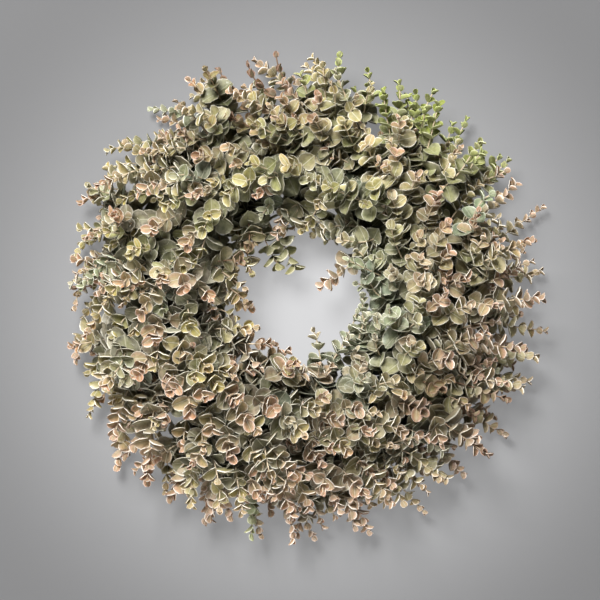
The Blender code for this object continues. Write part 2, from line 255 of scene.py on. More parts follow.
# The shapes of leaf, for a length of 1. The smaller widest is, the nearer to its foot a leaf is
# widest. Cup and fold lift its sides, curl bends it back or forward, and ripple waves its rim.
# Rows and columns are those of its mesh.
WIDE_COLUMNS = (-1.0, -0.55, 0.0, 0.55, 1.0)
NARROW_COLUMNS = (-1.0, 0.0, 1.0)
RIPPLES = 11
RIPPLE_SLANT = 2
LeafShape = namedtuple("LeafShape", "name half_width widest cup fold curl ripple thickness rows columns")
LEAF_SHAPES = (
    LeafShape("leaf_1_broad", 0.56, 0.97, 0.25, 0.02, 0.10, 0.025, 0.024, 6, WIDE_COLUMNS),
    LeafShape("leaf_2_round", 0.53, 0.94, 0.17, 0.04, -0.10, 0.035, 0.032, 6, WIDE_COLUMNS),
    LeafShape("leaf_3_cupped", 0.52, 0.93, 0.34, 0.02, 0.18, 0.015, 0.040, 6, WIDE_COLUMNS),
    LeafShape("leaf_4_oval", 0.44, 0.86, 0.24, 0.04, 0.10, 0.020, 0.052, 6, NARROW_COLUMNS),
    LeafShape("leaf_5_young", 0.27, 0.76, 0.18, 0.06, -0.06, 0.010, 0.060, 5, NARROW_COLUMNS),
)
LAST_SHAPE = len(LEAF_SHAPES) - 1.0

# Where round the wreath the leaves blush, turn lime, mint, rusty or silver, and are lighter or darker
# with painted light and shade
BLUSH_MEAN = 0.60
BLUSH_SWING = 0.18
BLUSH_CHANCE = (-0.36, 0.36)
BLUSH_SIDE = math.radians(290)
LEAST_BLUSH = 0.2
LIME_SIDE = math.radians(62)
LIME_SPREAD = math.radians(34)
LIME_DEPTH = 0.8
LIME_REACH = 0.235
MINT_SIDE = math.radians(-5)
MINT_REACH = 0.17
MINT_GAIN = 2
ODD_MINT = 0.04
ODD_MINT_DEPTH = (0.5, 1)
RUST_SIDES = ((math.radians(112), math.radians(35)), (math.radians(-30), math.radians(45)))
RUST_REACH = 0.17
RUST_GAIN = 1.4
# Brown near the hole's upper left: partly rust, partly painted shade where the hole's edge lies in
# shadow
BROWN_AND_PAINTED_SHADE_SIDE = math.radians(150)
BROWN_AND_PAINTED_SHADE_SPREAD = math.radians(70)
BROWN_AND_PAINTED_SHADE_REACH = 0.10
SILVER_SIDE = math.radians(195)
SILVER_SPREAD = math.radians(120)
LEAST_SILVER = 0.25
# How light a sprig is: partly chance, and partly painted light and shade, lighter toward one side of the
# wreath and darker toward the other, more so round the hole, and lighter along one axis than across it
LEAST_LIGHT = 0.1
LIGHT_CHANCE = 0.8
PAINTED_LIGHT_SIDE = math.radians(95)
PAINTED_LIGHT_SWING = 0.12
PAINTED_LIGHT_AT_HOLE = 0.40
HOLE_REACH = 0.115
PAINTED_LIGHT_AXIS = math.radians(20)
PAINTED_LIGHT_ON_AXIS = 0.16

# Pairs of colours, from the old, darker or plain leaves to the young, lighter or blushing ones.
# Of a leaf's darker and lighter colours, the darker is partly painted shade and the lighter partly
# painted light
# The oldest leaves, deep in the wreath: partly their own dark green, partly painted shade
OLD_BODY_AND_PAINTED_SHADE = ((0.016, 0.019, 0.004, 1), (0.090, 0.094, 0.032, 1))
GREEN_BODY = ((0.070, 0.082, 0.024, 1), (0.325, 0.335, 0.140, 1))
TAN_BODY = ((0.130, 0.080, 0.036, 1), (0.50, 0.340, 0.200, 1))
MINT_BODY = ((0.10, 0.140, 0.092, 1), (0.34, 0.43, 0.29, 1))
MINT_MARGIN = ((0.25, 0.31, 0.22, 1), (0.64, 0.73, 0.51, 1))
GROWN_MARGIN = ((0.12, 0.12, 0.07, 1), (0.37, 0.35, 0.26, 1))
HEART_COLOURS = ((0.078, 0.088, 0.026, 1), (0.285, 0.285, 0.105, 1))
PATCH_COLOURS = ((0.40, 0.37, 0.22, 1), (0.48, 0.36, 0.28, 1))
RIM_COLOURS = ((0.62, 0.58, 0.45, 1), (1.0, 0.97, 0.86, 1))
STEM_TIPS = ((0.64, 0.52, 0.36, 1), (0.20, 0.11, 0.06, 1))
BARK_COLOURS = ((0.050, 0.030, 0.018, 1), (0.27, 0.175, 0.11, 1))
WIRE_COLOURS = ((0.02, 0.05, 0.025, 1), (0.10, 0.11, 0.08, 1))
FLOOR_COLOURS = ((0.60, 0.60, 0.60, 1), (0.66, 0.66, 0.66, 1))
# The wall's painted pool of light, bright behind the wreath and dim far from it
WALL_PAINTED_LIGHT = ((0.70, 0.70, 0.71, 1), (0.252, 0.252, 0.255, 1))

# Young leaves: lime, cream, peach and rusty
YOUNG_BODY = ((0.255, 0.31, 0.030, 1), (0.47, 0.385, 0.140, 1), (0.54, 0.298, 0.190, 1),
              (0.15, 0.070, 0.038, 1))
YOUNG_MARGIN = ((0.50, 0.56, 0.15, 1), (0.86, 0.77, 0.52, 1), (0.92, 0.69, 0.56, 1),
                (0.26, 0.14, 0.085, 1))

# Single colours
MOTTLE_SHADE = (0.55, 0.55, 0.50, 1)
# The foot's darkening: partly the leaf's own colour, partly painted shade where it meets its stem
FOOT_TONE_AND_PAINTED_SHADE = (0.45, 0.48, 0.40, 1)
DUST_COLOUR = (0.52, 0.49, 0.37, 1)
UNDER_COLOUR = (0.40, 0.38, 0.28, 1)
STEM_COLOUR = (0.26, 0.24, 0.15, 1)
GRAIN_COLOUR = (0.12, 0.10, 0.06, 1)
LICHEN_COLOUR = (0.30, 0.24, 0.18, 1)
SKY_COLOUR = (0.80, 0.81, 0.83, 1)
BLACK = (0, 0, 0, 1)

# Speckles: their scale and detail, and where their masks start and end
PATCHES = (45.0, 2.0, 0.42, 0.68)
MOTTLE = (240.0, 4.0, 0.44, 0.62)
DUST = (160.0, 3.0, 0.45, 0.75)
STEM_GRAIN = (260.0, 3.0, 0.35, 0.7)
LICHEN = (40.0, 3.0, 0.45, 0.65)
WIRE_WEAR = (400.0, 3.0, 0.55, 0.75)
FLOOR_CLOUD = (3.0, 3.0, 0.3, 0.7)

# How strongly each of them, and each part of a leaf, shows
PATCH_SHARE = 0.4
MOTTLE_SHARE = 0.68
DUST_SHARE = 0.25
STEM_GRAIN_SHARE = 0.35
LICHEN_SHARE = 0.5
MINT_SHARE = 0.75
RUST_SHARE = 0.85
# How much a leaf's darker or lighter colours follow its light value, which is partly painted light and
# shade
LIGHT_SHARE = 0.4
VEIN_SHARE = 0.16
UNDER_SHARE = 0.2
MIDRIB_SHARE = 0.45
VEIN_RELIEF = 0.4
DUST_RELIEF = 0.5
VEIN_SLANT = -0.7
VEINS = 44.0

# Gradual changes: where each starts and ends, and what it goes from and to if not from 0 to 1.
# A leaf's age is 0 for the oldest leaves and 1 for the youngest.
MATURING = (0.02, 0.42)
YOUNG_AGES = (0.42, 0.92)
TO_CREAM = (0.02, 0.32)
TO_PEACH = (0.45, 0.90)
DEEPER_AGES = (0.55, 1.0, -0.12, 0.28)
DEEPER_BLUSH = (0.05, 0.30)
SHADES = (0.15, 0.85)
SILVERING = (0.35, 0.8, -0.45, 0.20)
PATCH_AGES = (0.1, 0.5)
HEART = (0.25, 0.80, 0.0, 0.4)
FOOT = (0.0, 0.55, 0.65, 0.0)
VEIN_WIDTH = (0.0, 0.35, 1.0, 0.0)
WASH = (0.0, 0.42, 0.55, 0.0)
WASH_AGES = (0.0, 0.9, 0.35, 1.0)
RIM_WIDTH = (0.0075, 0.0150, 1.0, 0.0)
RIM_TINTS = (0.0, 0.6, 0.4, 1.0)
RIM_AGES = (0.0, 0.3, 0.4, 0.95)
RIM_PALING = (0.2, 0.8)
RIM_OWN_COLOUR = (0.0, 0.3, 0.75, 0.2)
MIDRIB_WIDTH = (0.015, 0.06, 1.0, 0.0)
LEAF_GLOSS = (0.3, 0.7, 0.36, 0.70)
STEM_AGES = (0.0, 0.5)
STEM_GLOSS = (0.3, 0.7, 0.5, 0.8)
BARK_CONTRAST = (0.3, 0.7)
BARK_GLOSS = (0.3, 0.7, 0.7, 0.95)
WIRE_GLOSS = (0.3, 0.7, 0.35, 0.6)
# How the wall's painted pool of light fades, and the share of the wall's brightness left to the lamps:
# least behind the hole, with a painted glow for the rest
WALL_PAINTED_LIGHT_FADE = (0.0, 0.49)
WALL_LIT = (0.03, 0.11, 0.16, 0.36)

# How deep and how strong the relief of each finish is, and how much a leaf shines
LEAF_RELIEF = (0.0004, 0.6)
STEM_RELIEF = (0.0003, 0.6)
BARK_RELIEF = (0.0012, 0.9)
WIRE_RELIEF = (0.0002, 0.4)
LEAF_SHINE = 0.6

# The bark's strips: how fine they are across and along the cane, and their noise
BARK_ACROSS = 3.5
BARK_ALONG = 70.0
BARK_NOISE = {"Scale": 1.6, "Detail": 5.0}

# The stage, where the wall's painted pool of light is centred from the wreath's centre, and how much
# lamp light falls on the wall
WALL_BACK = 0.0165
WALL_TOP = 2.6
FLOOR_Z = -1.4
STAGE_SIDE = 4.0
WALL_PAINTED_LIGHT_MIDDLE = (0.012, WALL_BACK, -0.03)
WALL_LIGHT = 1.55

# The lights, and the sky's strength as light and as a backdrop
Light = namedtuple("Light", "name place size power")
LIGHTS = (
    Light("key", (-0.95, -2.8, 1.72), 1.4, 246),
    Light("fill", (0.3, -2.4, -1.2), 1.0, 7),
    Light("behind", (0.2, 1.9, 0.5), 1.6, 18),
)
SKY_LIGHT = 0.008
SKY_SEEN = 0.5

# The photograph's frame, from which the camera takes its place
PHOTO_PIXELS = 600
WREATH_MIDDLE_PIXELS = (309, 297.5)
METRES_PER_PIXEL = 0.00117
CAMERA_DISTANCE = 2.4
SENSOR_WIDTH = 36

FRONT = Vector((0, -1, 0))
CENTRE = Vector((0, 0, HANG_DEPTH - RING_RADIUS))


class Nodes:
    """A node tree while it is built."""

    def __init__(self, tree):
        self.tree = tree

    def add(self, kind, inputs=None, **settings):
        """Add a node, set its options, and set or link its inputs by name or number."""
        made = self.tree.nodes.new(kind)
        for name, value in settings.items():
            setattr(made, name, value)
        for key, value in (inputs or {}).items():
            if isinstance(value, bpy.types.NodeSocket):
                self.tree.links.new(value, made.inputs[key])
            else:
                made.inputs[key].default_value = value
        return made

    def feed(self, node, values):
        """Link values to the inputs of a node."""
        for name, value in values.items():
            self.tree.links.new(value, node.inputs[name])

    def math(self, operation, *values, clamp=False):
        """A sum on numbers."""
        inputs = dict(enumerate(values))
        return self.add("ShaderNodeMath", inputs, operation=operation, use_clamp=clamp).outputs[0]

    def plus(self, a, b):
        """Two numbers added."""
        return self.math("ADD", a, b)

    def minus(self, a, b):
        """A number less another."""
        return self.math("SUBTRACT", a, b)

    def times(self, a, b):
        """Two numbers multiplied."""
        return self.math("MULTIPLY", a, b)

    def within(self, value, low, high):
        """A number kept between two others."""
        return self.math("MAXIMUM", self.math("MINIMUM", value, high), low)

    def blend(self, share, low, high):
        """A number between two others."""
        return self.add("ShaderNodeMix", {0: share, 2: low, 3: high}).outputs[0]

    def ramp(self, value, start, end, low=0.0, high=1.0):
        """A number that goes smoothly from low to high while a value goes from start to end."""
        inputs = {0: value, 1: start, 2: end, 3: low, 4: high}
        return self.add("ShaderNodeMapRange", inputs, interpolation_type="SMOOTHSTEP").outputs[0]

    def colour(self, share, low, high, kind="MIX"):
        """A colour between two others."""
        inputs = {0: share, 6: low, 7: high}
        return self.add("ShaderNodeMix", inputs, data_type="RGBA", blend_type=kind).outputs[2]

    def parts(self, vector):
        """The X, Y and Z of a vector."""
        return self.add("ShaderNodeSeparateXYZ", {0: vector}).outputs

    def random(self, limits, seed):
        """A random number for each point."""
        inputs = {2: limits[0], 3: limits[1], 8: seed}
        return self.add("FunctionNodeRandomValue", inputs, data_type="FLOAT").outputs[1]

    def named(self, name, kind="FLOAT"):
        """A value that the geometry carries."""
        return self.add("GeometryNodeInputNamedAttribute", {"Name": name}, data_type=kind).outputs[0]

    def store(self, geometry, name, value, domain="POINT"):
        """Keep a value on the geometry."""
        inputs = {"Geometry": geometry, "Name": name, "Value": value}
        return self.add("GeometryNodeStoreNamedAttribute", inputs, domain=domain).outputs[0]

    def turned(self, rotation, axis, angle):
        """A rotation that is turned on about its own axis."""
        by = self.add("FunctionNodeAxisAngleToRotation", {"Axis": axis, "Angle": angle})
        inputs = {"Rotation": rotation, "Rotate By": by.outputs[0]}
        return self.add("FunctionNodeRotateRotation", inputs, rotation_space="LOCAL").outputs[0]

    def swept(self, line, section, inputs):
        """A section carried along a line."""
        inputs = {"Curve": line, "Profile Curve": section, **inputs}
        return self.add("GeometryNodeCurveToMesh", inputs).outputs[0]

    def smoothed(self, geometry):
        """Geometry shaded smooth."""
        return self.add("GeometryNodeSetShadeSmooth", {"Geometry": geometry}).outputs[0]

    def moved(self, geometry, position):
        """Geometry with its points put elsewhere."""
        inputs = {"Geometry": geometry, "Position": position}
        return self.add("GeometryNodeSetPosition", inputs).outputs[0]

    def finished(self, geometry, finish):
        """Geometry with its material."""
        inputs = {"Geometry": geometry, "Material": finish}
        return self.add("GeometryNodeSetMaterial", inputs).outputs[0]

    def joined(self, *geometries):
        """Several geometries as one."""
        join = self.add("GeometryNodeJoinGeometry")
        for geometry in geometries:
            self.tree.links.new(geometry, join.inputs[0])
        return join.outputs[0]


# The stems' paths


def radial(angle):
    """The direction away from the ring's centre at a clock angle."""
    return Vector((math.cos(angle), 0, math.sin(angle)))


def tangent(angle):
    """The direction along the ring, counter-clockwise from the front."""
    return Vector((-math.sin(angle), 0, math.cos(angle)))


def clock(point):
    """A point's clock angle and its reach from the wreath's centre, seen from the front."""
    across = point - CENTRE
    return math.atan2(across.z, across.x), math.hypot(across.x, across.z)


def station_angle(station):
    """Where round the ring a tie and its sprays sit."""
    return FIRST_STATION + math.tau * station / STATIONS


def ring_point(angle, section_angle, depth):
    """A point round the ring's own section, with 0 outward and 90 degrees to the front."""
    across = radial(angle) * math.cos(section_angle) + FRONT * math.sin(section_angle)
    return CENTRE + radial(angle) * RING_RADIUS + across * depth


def swirl(angle):
    """How far the sprigs lean round the wreath, counter-clockwise from straight outward."""
    return SWIRL_MEAN + SWIRL_CHANGE * math.cos(angle - SWIRL_PEAK)


def bezier(start, handle_a, handle_b, end, steps=16):
    """Points along a cubic curve."""
    points = []
    for step in range(steps + 1):
        t = step / steps
        s = 1 - t
        points.append(start * s ** 3 + handle_a * 3 * s * s * t
                      + handle_b * 3 * s * t * t + end * t ** 3)
    return points


def tip_point(row, angle, draw):
    """The end of a sprig and the way it points there."""
    reach = row.reach + draw.uniform(-TIP_WANDER, TIP_WANDER)
    front = row.front + draw.uniform(-FRONT_WANDER, FRONT_WANDER)
    tip = CENTRE + radial(angle) * reach + FRONT * front
    lean = math.radians(row.lean)
    turn = math.radians(row.turn) + swirl(angle)
    flat = radial(angle) * math.cos(turn) + tangent(angle) * math.sin(turn)
    return tip, flat * math.cos(lean) + FRONT * math.sin(lean)


def main_path(seat, along, tip, aim):
    """A stem that lies along the ring under its tie and then bends away to its tip."""
    leave = seat + along * STEM_RUN
    length = (tip - leave).length
    first = leave + along * length * MAIN_START_HANDLE
    curve = bezier(leave, first, tip - aim * length * MAIN_END_HANDLE, tip)
    return [seat - along * STEM_TAIL] + curve


def side_path(leave, tip, aim):
    """A stem that leaves a main stem."""
    handle = (tip - leave) * SIDE_HANDLE
    return bezier(leave, leave + handle, tip - aim * handle.length, tip)


def spray_paths(station, row):
    """The paths of one spray: its main stem first, then the side stems that leave it."""
    draw = random.Random(f"{SEED} {row.name} {station}")
    angle = station_angle(station)
    seat = ring_point(angle, math.radians(row.seat), STEM_DEPTH)
    paths = []
    for fan in row.fans:
        tip, aim = tip_point(row, angle + math.radians(row.drift + fan), draw)
        if paths:
            paths.append(side_path(paths[0][draw.choice(SIDE_STEM_STARTS)], tip, aim))
        else:
            paths.append(main_path(seat, tangent(angle), tip, aim))
    return paths


def path_length(path):
    """The length of a path."""
    return sum((b - a).length for a, b in zip(path, path[1:]))


def walk(path, share):
    """The point and the direction at a share of a path's length."""
    target = share * path_length(path)
    for a, b in zip(path, path[1:]):
        length = (b - a).length
        if target <= length:
            return a.lerp(b, target / length), (b - a).normalized()
        target -= length
    return path[-1].copy(), (path[-1] - path[-2]).normalized()


def nearness(angle, middle, half_spread):
    """From 1 at a middle angle to 0 at half_spread away from it."""
    away = abs((angle - middle + math.pi) % math.tau - math.pi)
    return max(0, 1 - away / half_spread)


def kept_in_box(point):
    """A point moved back inside the solids' box, with room for the last leaves."""
    low = cad_box[0] + Vector((TIP_ROOM, 0, TIP_ROOM))
    high = cad_box[1] - Vector((TIP_ROOM, 0, TIP_ROOM))
    return Vector((min(high.x, max(low.x, point.x)), point.y, min(high.z, max(low.z, point.z))))


def grown(path, growth):
    """A path that goes on a little beyond its end, and more on the wreath's fuller sides."""
    if not growth:
        return path
    angle, _ = clock(path[-1])
    fuller = max(nearness(angle, side, FULLER_SPREAD) for side in FULLER_SIDES)
    length = growth + FULLER_GROWTH * fuller
    return path + [kept_in_box(path[-1] + (path[-1] - path[-2]).normalized() * length)]


def kept_within(point):
    """A point moved back between the wall, the front, the hole and the wreath's rim."""
    across = Vector((point.x, 0, point.z - CENTRE.z))
    reach = max(HOLE_LIMIT, min(RIM_LIMIT, across.length))
    across = across.normalized() * reach
    depth = max(-FRONT_LIMIT, min(WALL_Y / 2, point.y))
    return kept_in_box(Vector((across.x, depth, across.z + CENTRE.z)))


def shoot(path, draw):
    """A young side shoot on a stem."""
    leave, heading = walk(path, draw.uniform(*SHOOT_STARTS))
    side = heading.orthogonal().normalized()
    spin = draw.uniform(0, math.tau)
    side = side * math.cos(spin) + heading.cross(side) * math.sin(spin)
    side = (side + FRONT * SHOOT_TO_FRONT).normalized()
    lean = draw.uniform(*SHOOT_LEAN)
    aim = heading * math.cos(lean) + side * math.sin(lean)
    tip = kept_within(leave + aim * draw.uniform(*SHOOT_LENGTH))
    path = side_path(leave, tip, (aim + heading).normalized())
    return Stem(path, SHOOT_HALF, SHOOT_BARE, draw.uniform(*SHOOT_YOUTH), 1.0)


def fill_stem(station, row, fan, paths, draw):
    """A finer sprig between a spray's own ones, or between two stations."""
    drop = draw.uniform(*FILL_DROP)
    reach = row.reach + drop if row.reach < RING_RADIUS else row.reach - drop
    lowered = row._replace(reach=reach, front=row.front - draw.uniform(*FILL_DROP))
    angle = station_angle(station) + math.radians(row.drift + fan)
    tip, aim = tip_point(lowered, angle, draw)
    tip = kept_within(tip)
    if fan > FAR_FAN:
        between = station_angle(station) + math.pi / STATIONS
        seat = ring_point(between, math.radians(row.seat), STEM_DEPTH)
        return Stem(main_path(seat, tangent(between), tip, aim), SIDE_HALF, MAIN_BARE, 0.0, row.young)
    near = min(paths, key=lambda path: (path[-1] - tip).length)
    leave = near[draw.randint(*FILL_START)]
    return Stem(side_path(leave, tip, aim), SIDE_HALF, SIDE_BARE, FILL_YOUTH, row.young)


def stray_stems(station, row, paths):
    """The sprigs of a spray that stray into the hole or beyond the others."""
    stems = []
    for stray in STRAYS:
        if (stray.row, stray.station) == (row.name, station):
            across = radial(math.radians(stray.angle))
            tip = kept_in_box(CENTRE + across * stray.reach + FRONT * stray.front)
            near = min(paths, key=lambda path: (path[-1] - tip).length)
            aim = across if stray.reach > RING_RADIUS else -across
            stems.append(Stem(side_path(near[STRAY_START], tip, aim), SHOOT_HALF, *stray.kind))
    return stems


def spray_stems(station, row):
    """Every leafy stem of a spray."""
    draw = random.Random(f"{SEED} shoots {row.name} {station}")
    paths = [grown(path, row.growth) for path in spray_paths(station, row)]
    stems = [Stem(paths[0], MAIN_HALF, MAIN_BARE, 0.0, row.young)]
    stems += [Stem(path, SIDE_HALF, SIDE_BARE, 0.0, row.young) for path in paths[1:]]
    stems += [fill_stem(station, row, fan, paths, draw) for fan in row.fill]
    shoots = [shoot(stem.path, draw) for stem in stems]
    return stems + shoots + stray_stems(station, row, paths)


# The leaves' own shapes


def leaf_point(shape, share, across):
    """A point on a leaf of length 1 that grows along Z with its upper face to -X."""
    spread = share ** shape.widest
    width = shape.half_width * math.sqrt(max(0, 1 - (2 * spread - 1) ** 2))
    lift = shape.cup * across * across * width / shape.half_width
    lift += shape.fold * abs(across) * width / shape.half_width
    lift += shape.curl * share * share
    lift += shape.ripple * math.sin(share * RIPPLES + across * RIPPLE_SLANT) * across * across
    return Vector((-lift, across * width, share))


def leaf_side(shape, depth, spots):
    """One side of a leaf: its base, its rows of points and its tip."""
    def spot(share, across):
        spots.append((leaf_point(shape, share, across) + Vector((depth, 0, 0)), across, share))
        return len(spots) - 1

    base = spot(0, 0)
    rows = []
    for row in range(1, shape.rows):
        share = (1 - math.cos(math.pi * row / shape.rows)) / 2
        rows.append([spot(share, across) for across in shape.columns])
    return base, rows, spot(1, 0)


def leaf_side_faces(base, rows, tip):
    """The faces of one side of a leaf."""
    faces = []
    for k in range(len(rows[0]) - 1):
        faces.append((base, rows[0][k], rows[0][k + 1]))
        for low, high in zip(rows, rows[1:]):
            faces.append((low[k], high[k], high[k + 1], low[k + 1]))
        faces.append((rows[-1][k], tip, rows[-1][k + 1]))
    return faces


def leaf_outline(base, rows, tip):
    """The points round the edge of one side of a leaf."""
    return [base] + [row[0] for row in rows] + [tip] + [row[-1] for row in rows[::-1]]


def leaf_edge_faces(over, below):
    """The faces of a leaf's edge, between the outlines of its upper and its under side."""
    return [(over[k], over[k - 1], below[k - 1], below[k]) for k in range(len(over))]


def leaf_mesh(shape):
    """A thin closed leaf, with a map of its blade and a mark on its under side."""
    spots = []
    upper = leaf_side(shape, 0, spots)
    under = leaf_side(shape, shape.thickness, spots)
    faces = leaf_side_faces(*upper)
    faces += leaf_edge_faces(leaf_outline(*upper), leaf_outline(*under))
    first_under = len(faces)
    faces += [face[::-1] for face in leaf_side_faces(*under)]
    mesh = bpy.data.meshes.new(shape.name)
    mesh.from_pydata([point for point, _, _ in spots], [], faces)
    blade_map = mesh.uv_layers.new(name="blade_map")
    for corner in mesh.loops:
        _, across, share = spots[corner.vertex_index]
        blade_map.data[corner.index].uv = (0.5 + across / 2, share)
    under_mark = mesh.attributes.new("under_side", "FLOAT", "FACE")
    for face in mesh.polygons:
        face.use_smooth = True
        under_mark.data[face.index].value = float(face.index >= first_under)
    for edge in mesh.edges:
        edge.use_edge_sharp = all(abs(spots[i][1]) == 1 or spots[i][2] in (0, 1) for i in edge.vertices)
    return mesh


def leaf_shapes():
    """A collection of the leaf shapes, from the oldest to the youngest."""
    shapes = bpy.data.collections.new("leaf_shapes")
    for shape in LEAF_SHAPES:
        shapes.objects.link(bpy.data.objects.new(shape.name, leaf_mesh(shape)))
    return shapes


# The trees that make the sprays, the cane and the wire


def geometry_tree(name, things, numbers):
    """The nodes of a new geometry tree, and what its named inputs give."""
    tree = bpy.data.node_groups.new(name, "GeometryNodeTree")
    things = {"Geometry": "Geometry", **things}
    for label, kind in things.items():
        tree.interface.new_socket(label, in_out="INPUT", socket_type=f"NodeSocket{kind}")
    for label, value in numbers.items():
        kind = "NodeSocketInt" if isinstance(value, int) else "NodeSocketFloat"
        socket = tree.interface.new_socket(label, in_out="INPUT", socket_type=kind)
        socket.default_value = value
    tree.interface.new_socket("Geometry", in_out="OUTPUT", socket_type="NodeSocketGeometry")
    nodes = Nodes(tree)
    return nodes, nodes.add("NodeGroupInput").outputs


def stem_tubes(nodes, given, stems):
    """Round tapered stems."""
    factor = nodes.add("GeometryNodeSplineParameter").outputs["Factor"]
    stems = nodes.store(stems, "age", nodes.blend(factor, nodes.named("youth"), nodes.named("young")))
    thick = nodes.blend(factor, nodes.named("half"), given["Tip Half"])
    section = nodes.add("GeometryNodeCurvePrimitiveCircle", {"Resolution": STEM_SIDES, "Radius": 1.0})
    tubes = nodes.swept(stems, section.outputs[0], {"Scale": thick, "Fill Caps": True})
    return nodes.finished(nodes.smoothed(tubes), given["Stem Finish"])


def front_twist(nodes, rotation, given):
    """How far a leaf turns about its midrib to show its face to the front."""
    across = nodes.add("FunctionNodeRotateVector", {0: (0, 1, 0), 1: rotation}).outputs[0]
    normal = nodes.add("FunctionNodeRotateVector", {0: (-1, 0, 0), 1: rotation}).outputs[0]
    slope = nodes.math("DIVIDE", nodes.parts(across)["Y"], nodes.parts(normal)["Y"])
    twist = nodes.times(nodes.math("ARCTANGENT", slope), -1.0)
    twist = nodes.times(twist, given["Turn To Front"])
    return nodes.within(twist, nodes.times(given["Most Twist"], -1.0), given["Most Twist"])


def leaf_turn(nodes, given, frame_turn, age, half_turn, seed):
    """Which way a leaf of a pair points, and how far it is open and twisted."""
    rotation = nodes.turned(frame_turn, (0, 0, 1), half_turn)
    closed = nodes.math("POWER", age, OPENING_POWER)
    opening = nodes.blend(closed, given["Base Opening"], given["Tip Opening"])
    opening = nodes.plus(opening, nodes.random(OPENING_CHANCE, seed))
    opening = nodes.times(opening, nodes.named("spread"))
    rotation = nodes.turned(rotation, (0, 1, 0), opening)
    twist = nodes.plus(front_twist(nodes, rotation, given), nodes.random(TWIST_CHANCE, seed))
    return nodes.turned(rotation, (0, 0, 1), twist)


def hung_leaves(nodes, given, points, frame_turn, age, half_turn, seed_step):
    """One leaf of each pair."""
    seed = nodes.plus(given["Seed"], seed_step)
    size = nodes.blend(nodes.math("POWER", age, SIZE_POWER), given["Base Leaf"], given["Tip Leaf"])
    size = nodes.times(size, nodes.named("vigour"))
    size = nodes.times(size, nodes.random(SIZE_CHANCE, seed))
    choice = nodes.plus(nodes.times(age, LAST_SHAPE), nodes.random(SHAPE_CHANCE, seed))
    shapes = {"Collection": given["Leaf Shapes"], "Separate Children": True, "Reset Children": True}
    leaves = nodes.add("GeometryNodeInstanceOnPoints", {
        "Points": points,
        "Instance": nodes.add("GeometryNodeCollectionInfo", shapes).outputs[0],
        "Pick Instance": True,
        "Instance Index": nodes.within(choice, 0.0, LAST_SHAPE),
        "Rotation": leaf_turn(nodes, given, frame_turn, age, half_turn, seed),
        "Scale": size,
    }).outputs[0]
    leaves = nodes.store(leaves, "leaf_length", size, "INSTANCE")
    return nodes.store(leaves, "tint", nodes.random((0.0, 1.0), seed), "INSTANCE")


def pair_frame(nodes, given, stems, order, curve, share):
    """Where a pair of leaves sits on its stem, and how it is turned, crosswise to the last."""
    inputs = {"Curves": stems, "Factor": share, "Curve Index": curve}
    on_stem = nodes.add("GeometryNodeSampleCurve", inputs, mode="FACTOR").outputs
    inputs = {"Primary Axis": on_stem["Tangent"], "Secondary Axis": on_stem["Normal"]}
    axes = nodes.add("FunctionNodeAxesToRotation", inputs, primary_axis="Z", secondary_axis="X")
    cross_turn = nodes.times(nodes.math("MODULO", order, 2.0), math.pi / 2)
    roll = nodes.plus(nodes.named("roll"), cross_turn)
    roll = nodes.plus(roll, nodes.random(ROLL_CHANCE, given["Seed"]))
    return on_stem["Position"], nodes.turned(axes.outputs[0], (0, 0, 1), roll)


def leaf_pairs(nodes, given, stems):
    """Pairs of leaves along the stems, closer together toward the tips."""
    inputs = {"Curve": stems, "Count": nodes.named("pairs", "INT")}
    points = nodes.add("GeometryNodeResampleCurve", inputs).outputs[0]
    place = nodes.add("GeometryNodeCurveOfPoint").outputs
    order = place["Index in Curve"]
    last = nodes.minus(nodes.named("pairs", "INT"), 1.0)
    rest = nodes.minus(1.0, nodes.math("DIVIDE", order, last))
    done = nodes.minus(1.0, nodes.math("POWER", rest, given["Crowding"]))
    share = nodes.blend(done, nodes.named("bare"), 1.0)
    age = nodes.blend(done, nodes.named("youth"), nodes.named("young"))
    position, frame_turn = pair_frame(nodes, given, stems, order, place["Curve Index"], share)
    points = nodes.moved(nodes.store(points, "age", age), position)
    leaves = nodes.joined(
        hung_leaves(nodes, given, points, frame_turn, age, 0.0, 1),
        hung_leaves(nodes, given, points, frame_turn, age, math.pi, 2))
    leaves = nodes.add("GeometryNodeRealizeInstances", {"Geometry": leaves}).outputs[0]
    return nodes.finished(leaves, given["Leaf Finish"])


def off_the_wall(nodes, given, geometry):
    """Leaves near the wall are pressed flatter and flatter, and never pass it."""
    parts = nodes.parts(nodes.add("GeometryNodeInputPosition").outputs[0])
    room = given["Wall Room"]
    start = nodes.minus(given["Wall"], room)
    past = nodes.math("MAXIMUM", nodes.minus(parts["Y"], start), 0.0)
    pressed = nodes.math("EXPONENT", nodes.math("DIVIDE", past, nodes.times(room, -1.0)))
    pressed = nodes.times(room, nodes.minus(1.0, pressed))
    depth = nodes.plus(nodes.math("MINIMUM", parts["Y"], start), pressed)
    kept = nodes.add("ShaderNodeCombineXYZ", {0: parts["X"], 1: depth, 2: parts["Z"]}).outputs[0]
    return nodes.moved(geometry, kept)


def leafy_stems_tree():
    """The tree that dresses a spray's stem lines with stems and pairs of leaves."""
    things = {"Leaf Shapes": "Collection", "Leaf Finish": "Material", "Stem Finish": "Material"}
    nodes, given = geometry_tree("leafy_stems", things, {
        "Base Leaf": BASE_LEAF,
        "Tip Leaf": TIP_LEAF,
        "Base Opening": BASE_OPENING,
        "Tip Opening": TIP_OPENING,
        "Turn To Front": TURN_TO_FRONT,
        "Most Twist": MOST_TWIST,
        "Crowding": CROWDING,
        "Tip Half": TIP_HALF,
        "Wall": WALL_Y,
        "Wall Room": WALL_ROOM,
        "Seed": 0,
    })
    stems = nodes.add("GeometryNodeMeshToCurve", {"Mesh": given["Geometry"]}).outputs[0]
    made = nodes.joined(stem_tubes(nodes, given, stems), leaf_pairs(nodes, given, stems))
    nodes.add("NodeGroupOutput", {"Geometry": off_the_wall(nodes, given, made)})
    return nodes.tree


